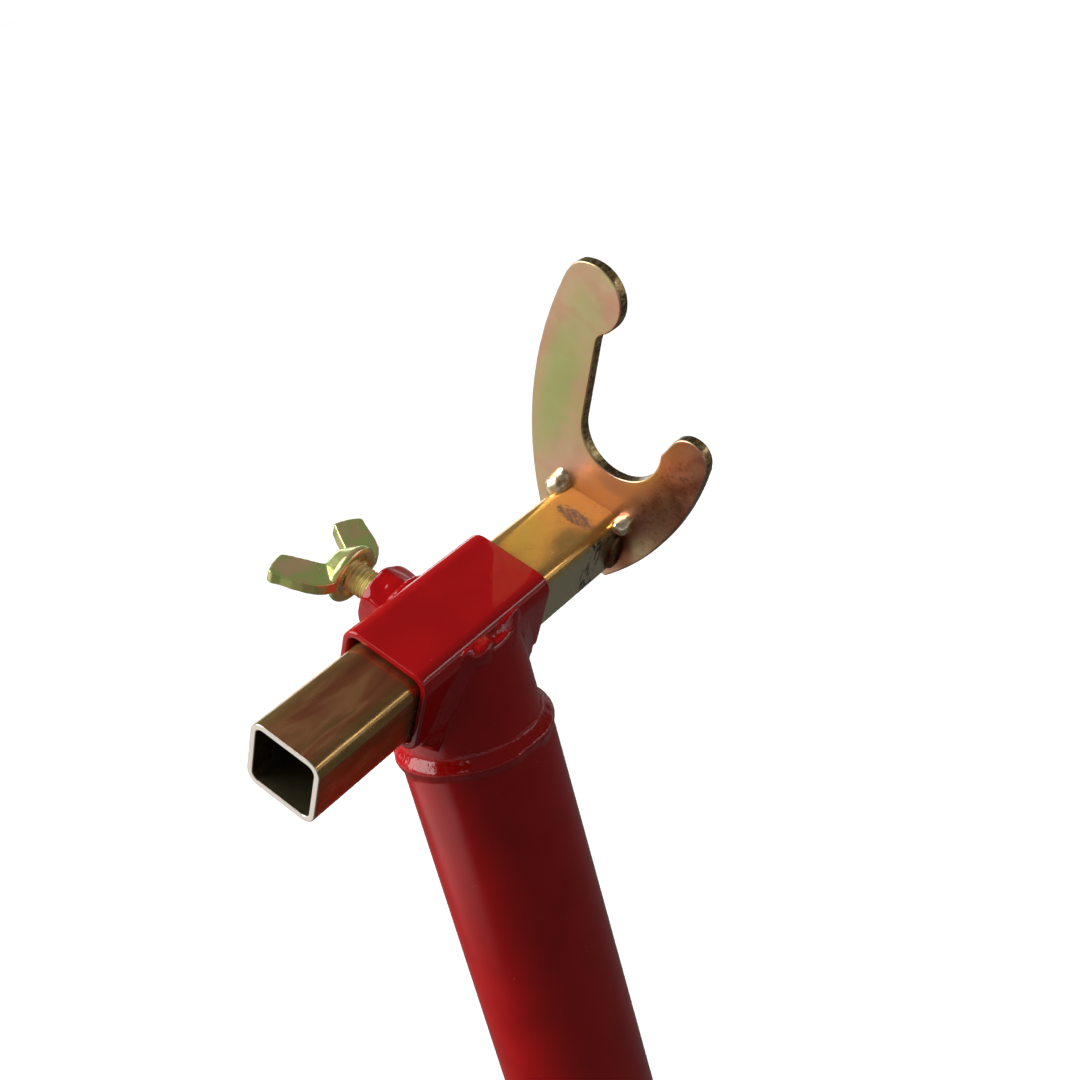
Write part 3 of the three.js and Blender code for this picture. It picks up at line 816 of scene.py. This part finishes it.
# Each weld: its place in X and Z, and its lumps' offsets and half sizes.
WELDS = {
    "hook_weld_top_left": ((-HALF + 0.4, HALF - 0.8), [
        ((0, 0, -0.6), (4.4, 5.4, 4.4)),
        ((-0.2, 1.8, 1.4), (3.4, 3.6, 4.0)),
        ((-0.6, 2.6, 3.0), (2.6, 2.8, 3.2)),
    ]),
    "hook_weld_top_right": ((HALF + 1, HALF - 1.6), [
        ((0, 0, 0), (3.4, 4.4, 3.4)),
        ((0.8, 0.6, 2.0), (2.2, 2.4, 2.2)),
        ((-0.6, -3.0, 1.2), (1.4, 1.8, 1.4)),
    ]),
    "hook_weld_right": ((HALF + 0.4, -1.5), [((0, 0, 0), (2.0, 3.6, 7.3))]),
    "hook_weld_left": ((-HALF - 0.4, -2.0), [((0, 0, 0), (2.4, 3.8, 6.8))]),
    "hook_weld_under": ((0, -HALF - 0.2), [((0, 0, 0), (6.8, 3.8, 2.1))]),
}
for seed, (name, ((x, z), lumps)) in enumerate(WELDS.items()):
    bm = bmesh.new()
    for (dx, dy, dz), size in lumps:
        add_ball(bm, (x + dx, BAR_FAR - BLOB_BACK + dy, z + dz), size, seed * 3.7, 0.06)
    # The welds on top take the pale copy and the rest take the dark one: painted light and shade.
    shade = weld_zinc if "top" in name else shaded_weld_zinc
    finished(name.replace("weld", "bead"), bm, "hook_bar", [name], shade, HEAD,
             fuse=WELD_FUSE)

# ---- Wing screw -----------------------------------------------------------------------------------


THREAD_DEPTH, THREAD_FLAT = 0.9, 0.14  # the flat is a share of the half pitch, at crest and root
THREAD_START = -HALF - 3.0
THREAD_END = HUB_FACE - HUB_RECESS_DEPTH - 0.3


def thread_rings(start, end, count=64, steps=14):
    """A right-hand thread along -X: each ring's radius follows the helix."""
    rows = int((start - end) / SCREW_PITCH * steps)
    rings = []
    for i in range(rows + 1):
        out = (start - end) * i / rows
        fade = min(1.0, i / steps) * min(1.0, (rows - i) / steps)
        ring = []
        for k in range(count):
            turn = 2 * math.pi * k / count
            phase = (out / SCREW_PITCH - k / count) % 1.0
            flank = abs(2 * phase - 1)  # 1 at the crest and 0 at the root
            height = min(max((flank - THREAD_FLAT) / (1 - 2 * THREAD_FLAT), 0.0), 1.0)
            radius = SCREW_RADIUS - THREAD_DEPTH * (1 - height) * (0.3 + 0.7 * fade)
            ring.append((start - out, -radius * math.cos(turn), SCREW_Z + radius * math.sin(turn)))
        rings.append(ring)
    return rings


piece("thread_skin", thread_rings(THREAD_START, THREAD_END), "wing_screw", ["screw_rod"],
      thread_zinc, HEAD, closed=False, capped=True)

HUB_PROFILE = [  # radius, and distance out from the hub's inner face
    (0.02, HUB_RECESS_DEPTH),
    (4.6, HUB_RECESS_DEPTH),
    (HUB_RECESS - 1.2, HUB_RECESS_DEPTH - 0.2),
    (HUB_RECESS, 0.3),
    (HUB_RECESS + 0.5, 0.0),
    (HUB_RIM - 0.9, 0.0),
    (HUB_RIM, 0.9),
    (HUB_RIM, 2.2),
    (HUB_RIM - 0.8, 3.3),
    (HUB_CROWN + 1.4, 5.6),
    (HUB_CROWN + 0.2, HUB_LENGTH - 1.6),
    (HUB_CROWN - 1.4, HUB_LENGTH - 0.2),
    (HUB_CROWN - 3.2, HUB_LENGTH),
    (0.02, HUB_LENGTH),
]

# A wing's outline as (out along the screw, reach across it): the edge towards the nut, a rounded
# corner, the end, another corner, and the edge towards the screw's axis. A corner is an arc's
# centre, radius, two angles and steps.
WING_NUT_EDGE = [(0.6, 4.0), (0.3, 9.4), (1.3, 12.4), (3.4, 14.9), (6.4, 16.9), (9.6, 18.5), (13.0, 20.0)]
WING_FAR_CORNER = (16.0, 20.0, 1.5, 105, 15, 5)
WING_END = [(18.6, 18.0), (19.6, 14.6)]
WING_NEAR_CORNER = (18.2, 13.0, 1.7, 5, -72, 5)
WING_AXIS_EDGE = [(15.6, 9.3), (12.4, 7.4), (9.0, 5.4), (8.0, 2.5)]
WING_FUSE = (0.28, 12)


def wing_loop(side):
    points = WING_NUT_EDGE + arc(*WING_FAR_CORNER) + WING_END + arc(*WING_NEAR_CORNER) + WING_AXIS_EDGE
    return [(out, side * reach) for out, reach in points]


def wing_head():
    """The hub with its recess, and two wings, fused and turned to their rest."""
    bm = bmesh.new()
    hub = []
    for radius, out in HUB_PROFILE:
        hub.append([(HUB_FACE - out, y, SCREW_Z + z) for y, z in round_loop(radius, 96)])
    add_skin(bm, hub, closed=False, capped=True)
    for side in (-1, 1):
        slab = []
        for z in (-WING_THICK / 2, WING_THICK / 2):
            slab.append([(HUB_FACE - out, reach, WING_Z + z) for out, reach in wing_loop(side)])
        add_skin(bm, slab, closed=False, capped=True)
    axis = Matrix.Translation((0, 0, SCREW_Z * MM))
    rest = axis @ Matrix.Rotation(WING_TURN, 4, "X") @ axis.inverted()
    bmesh.ops.transform(bm, matrix=rest, verts=bm.verts)
    finished("wing_skin", bm, "wing_screw", ["wing_head"], screw_zinc, HEAD, fuse=WING_FUSE)


wing_head()

# ---- Grips and cap --------------------------------------------------------------------------------


GRIP_RIBS, RIB_DEPTH = 18, 1.1
CAP_FACE = SHAFT_FOOT - CAP_GAP - CAP_THICK
CAP_ROUND = 1.6  # rounding of the cap's rim
PLUG_RADIUS = SHAFT_RADIUS - SHAFT_WALL - 0.4  # clear of the shaft's bore


def grip_rings(side):
    """A rubber grip: a flange towards the shaft, ribs, and a closed end with a dimple."""
    bore = HANDLE_RADIUS + 0.3
    profile = [(bore, HANDLE_HALF - 2), (bore, GRIP_START + 0.6), (bore + 0.5, GRIP_START)]
    profile += [(GRIP_FLANGE - 1, GRIP_START), (GRIP_FLANGE, GRIP_START + 1), (GRIP_FLANGE, GRIP_START + 3)]
    profile += [(GRIP_FLANGE - 1, GRIP_START + 4.2), (GRIP_RADIUS, GRIP_START + 6)]
    start, end = GRIP_START + 8.0, GRIP_END - 8.0
    for i in range(GRIP_RIBS * 8 + 1):
        share = i / (GRIP_RIBS * 8)
        wave = 0.5 - 0.5 * math.cos(2 * math.pi * GRIP_RIBS * share)
        profile.append((GRIP_RADIUS - RIB_DEPTH * wave**0.6, start + (end - start) * share))
    profile += [(GRIP_RADIUS, GRIP_END - 5)]
    for t in (0.3, 0.7, 1.1, 1.5):
        profile.append((GRIP_RADIUS - 4 + 4 * math.cos(t), GRIP_END - 4 + 4 * math.sin(t)))
    profile += [(6, GRIP_END), (3.2, GRIP_END), (2.6, GRIP_END - 1.5), (0.02, GRIP_END - 1.6)]
    return [[(x * side, side * z, y) for x, y, z in ring] for ring in turned(profile, 96)]


for word, side in SIDES:
    piece(f"grip_skin_{word}", grip_rings(side), "shaft_frame", [f"grip_{word}"],
          rubber.material, closed=False)

cap_profile = [(0.02, CAP_FACE), (9, CAP_FACE)]
cap_profile += [(9.4, CAP_FACE + 0.4), (10.4, CAP_FACE + 0.4), (10.8, CAP_FACE)]  # a moulded groove
for t in (0, 0.4, 0.8, 1.2, 1.57):
    out, up = CAP_ROUND * math.sin(t), CAP_ROUND * (1 - math.cos(t))
    cap_profile.append((SHAFT_RADIUS - CAP_ROUND + out, CAP_FACE + up))
cap_profile += [
    (SHAFT_RADIUS, SHAFT_FOOT - 0.7),
    (SHAFT_RADIUS - 0.3, SHAFT_FOOT - CAP_GAP),
    (PLUG_RADIUS, SHAFT_FOOT - CAP_GAP),
    (PLUG_RADIUS, SHAFT_FOOT + CAP_PLUG - 1),
    (PLUG_RADIUS - 0.8, SHAFT_FOOT + CAP_PLUG),
    (0.02, SHAFT_FOOT + CAP_PLUG),
]
piece("cap_skin", turned(cap_profile, 128), "shaft_frame", ["shaft_cap"],
      plastic.material, closed=False)

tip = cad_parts["thrust_tip"]
tip.data.materials.clear()
tip.data.materials.append(brass.material)

# ---- Stage and light --------------------------------------------------------------------------------

floor_level = cad_low.z


def stage_piece(name, bm, material):
    """Makes a piece of the stage, in metres."""
    mesh = bpy.data.meshes.new(name)
    bm.to_mesh(mesh)
    bm.free()
    made = bpy.data.objects.new(name, mesh)
    bpy.context.scene.collection.objects.link(made)
    mesh.materials.append(material)
    return made


def disc(name, radius, height, material):
    """A round flat sheet."""
    bm = bmesh.new()
    bm.faces.new([bm.verts.new((x, y, height)) for x, y in round_loop(radius, 96)])
    return stage_piece(name, bm, material)


def wall(name, radius, low, high, material):
    """A round wall."""
    bm = bmesh.new()
    rows = [[bm.verts.new((x, y, z)) for x, y in round_loop(radius, 96)] for z in (low, high)]
    for j in range(96):
        k = (j + 1) % 96
        bm.faces.new((rows[0][j], rows[0][k], rows[1][k], rows[1][j]))
    return stage_piece(name, bm, material)


def glowing(name, color, strength):
    """A material that only gives light."""
    f = Finish(name)
    f.set("Base Color", (0.0, 0.0, 0.0, 1))
    f.set("Specular IOR Level", 0.0)
    f.set("Emission Color", color)
    f.set("Emission Strength", strength)
    return f


FLOOR_RADIUS, WALL_RADIUS, WALL_HEIGHT, CARD_RADIUS = 60.0, 12.0, 30.0, 6.0
CARD_LIFT = 0.01
CARD_DIM, CARD_BRIGHT = 0.12, 0.85

pale = Finish("pale_floor", Roughness=0.9)
pale.set("Base Color", (0.95, 0.95, 0.95, 1))
pale.set("Specular IOR Level", 0.0)
floor = disc("floor", FLOOR_RADIUS, floor_level, pale.material)
floor.visible_diffuse = False

# A pale wall that only the camera sees.
paper = glowing("pale_backdrop", (1.0, 1.0, 1.0, 1), 1.0)
backdrop = wall("backdrop", WALL_RADIUS, floor_level, WALL_HEIGHT, paper.material)
backdrop.visible_diffuse = backdrop.visible_glossy = backdrop.visible_shadow = False

# A reflector on the floor that only glossy surfaces see: bright to the front left, dark elsewhere.
card = glowing("reflector", (1.0, 0.98, 0.96, 1), 1.0)
position = card.tree.nodes.new("ShaderNodeTexCoord").outputs["Object"]
flat = card.add("ShaderNodeSeparateXYZ", [(0, position)]).outputs
behind = [card.math("MULTIPLY", flat[axis], -1.0) for axis in ("Y", "X")]
azimuth = card.math("ARCTAN2", *behind)
left = card.between(azimuth, math.radians(-8), math.radians(30))
front = card.between(azimuth, math.radians(92), math.radians(62))
away = card.between(card.vector("LENGTH", position).outputs["Value"], 0.45, 0.85)
glow = card.math("MULTIPLY", card.math("MULTIPLY", left, front), away)
card.set("Emission Strength", card.between(glow, 0.0, 1.0, CARD_DIM, CARD_BRIGHT))
reflector = disc("reflector", CARD_RADIUS, floor_level + CARD_LIFT, card.material)
reflector.visible_camera = False
reflector.visible_diffuse = False
reflector.visible_shadow = False


LAMP_DISTANCE = 1.3


def point_lamp(name, kind, direction, **settings):
    """A lamp that shines from a direction onto the head."""
    light = bpy.data.lights.new(name, kind)
    for setting, value in settings.items():
        setattr(light, setting, value)
    lamp = bpy.data.objects.new(name, light)
    bpy.context.scene.collection.objects.link(lamp)
    lamp.rotation_mode = "QUATERNION"
    lamp.rotation_quaternion = Vector(direction).to_track_quat("Z", "Y")
    lamp.location = Vector((0, 0, HEAD_HEIGHT * MM)) + Vector(direction).normalized() * LAMP_DISTANCE
    return lamp


AREA_LAMPS = {  # name: the direction that it shines from, and its settings
    "front_box": ((0.02, -0.67, 0.74), {"energy": 0.75, "size": 0.28}),
    "back_strip": ((0.75, 0.6, 0.24), {"energy": 1.6, "shape": "RECTANGLE", "size": 1.0, "size_y": 0.14}),
    "left_strip": ((-0.82, 0.56, 0.08), {"energy": 1.6, "shape": "RECTANGLE", "size": 0.7, "size_y": 0.3}),
    "side_fill": ((-0.72, -0.66, -0.1), {"energy": 4.0, "size": 0.8}),
}
KEY_FROM, KEY_STRENGTH, KEY_SPREAD = (-0.56, -0.36, 0.75), 4.2, math.radians(56)

point_lamp("key", "SUN", KEY_FROM, energy=KEY_STRENGTH, angle=KEY_SPREAD)
for name, (direction, settings) in AREA_LAMPS.items():
    lamp = point_lamp(name, "AREA", direction, **settings)
    lamp.visible_camera = False
    lamp.visible_glossy = name != "side_fill"

# The sky, by height: dark below the horizon, brightest on it, dim overhead.
SKY = ((0.0, 0.05), (0.48, 0.05), (0.5, 0.45), (0.55, 0.35), (0.66, 0.13), (1.0, 0.11))

world = bpy.data.worlds.new("studio")
bpy.context.scene.world = world
world.use_nodes = True
nodes, links = world.node_tree.nodes, world.node_tree.links
sky = nodes.new("ShaderNodeTexCoord")
split = nodes.new("ShaderNodeSeparateXYZ")
links.new(sky.outputs["Generated"], split.inputs[0])
height = nodes.new("ShaderNodeMapRange")
height.inputs["From Min"].default_value = -1.0
links.new(split.outputs["Z"], height.inputs["Value"])
levels = nodes.new("ShaderNodeValToRGB")
links.new(height.outputs[0], levels.inputs["Fac"])
stops = levels.color_ramp.elements
while len(stops) < len(SKY):
    stops.new(0.5)
for stop, (spot, gray) in zip(stops, SKY):
    stop.position, stop.color = spot, (gray, gray, gray, 1)
links.new(levels.outputs["Color"], nodes["Background"].inputs["Color"])

# ---- Camera -----------------------------------------------------------------------------------------

CAMERA_PLACE = Vector((0.32239, -0.28935, 0.74444))
CAMERA_AIM = Vector((0.01860, 0.03015, 0.53945))
CAMERA_ROLL = math.radians(14.787)
CAMERA_LENS, CAMERA_SENSOR = 54.29, 36.0

lens = bpy.data.cameras.new("camera")
lens.sensor_width = CAMERA_SENSOR
lens.lens = CAMERA_LENS
lens.clip_start, lens.clip_end = 0.01, 200.0
camera = bpy.data.objects.new("camera", lens)
bpy.context.scene.collection.objects.link(camera)
forward = (CAMERA_AIM - CAMERA_PLACE).normalized()
level = forward.cross(Vector((0, 0, 1))).normalized()
upward = level.cross(forward)
right = level * math.cos(CAMERA_ROLL) - upward * math.sin(CAMERA_ROLL)
up = upward * math.cos(CAMERA_ROLL) + level * math.sin(CAMERA_ROLL)
turn = Matrix((right, up, -forward)).transposed().to_4x4()
camera.matrix_world = Matrix.Translation(CAMERA_PLACE) @ turn
bpy.context.scene.camera = camera
bpy.context.scene.view_settings.view_transform = "Standard"
bpy.context.scene.view_settings.look = "None"
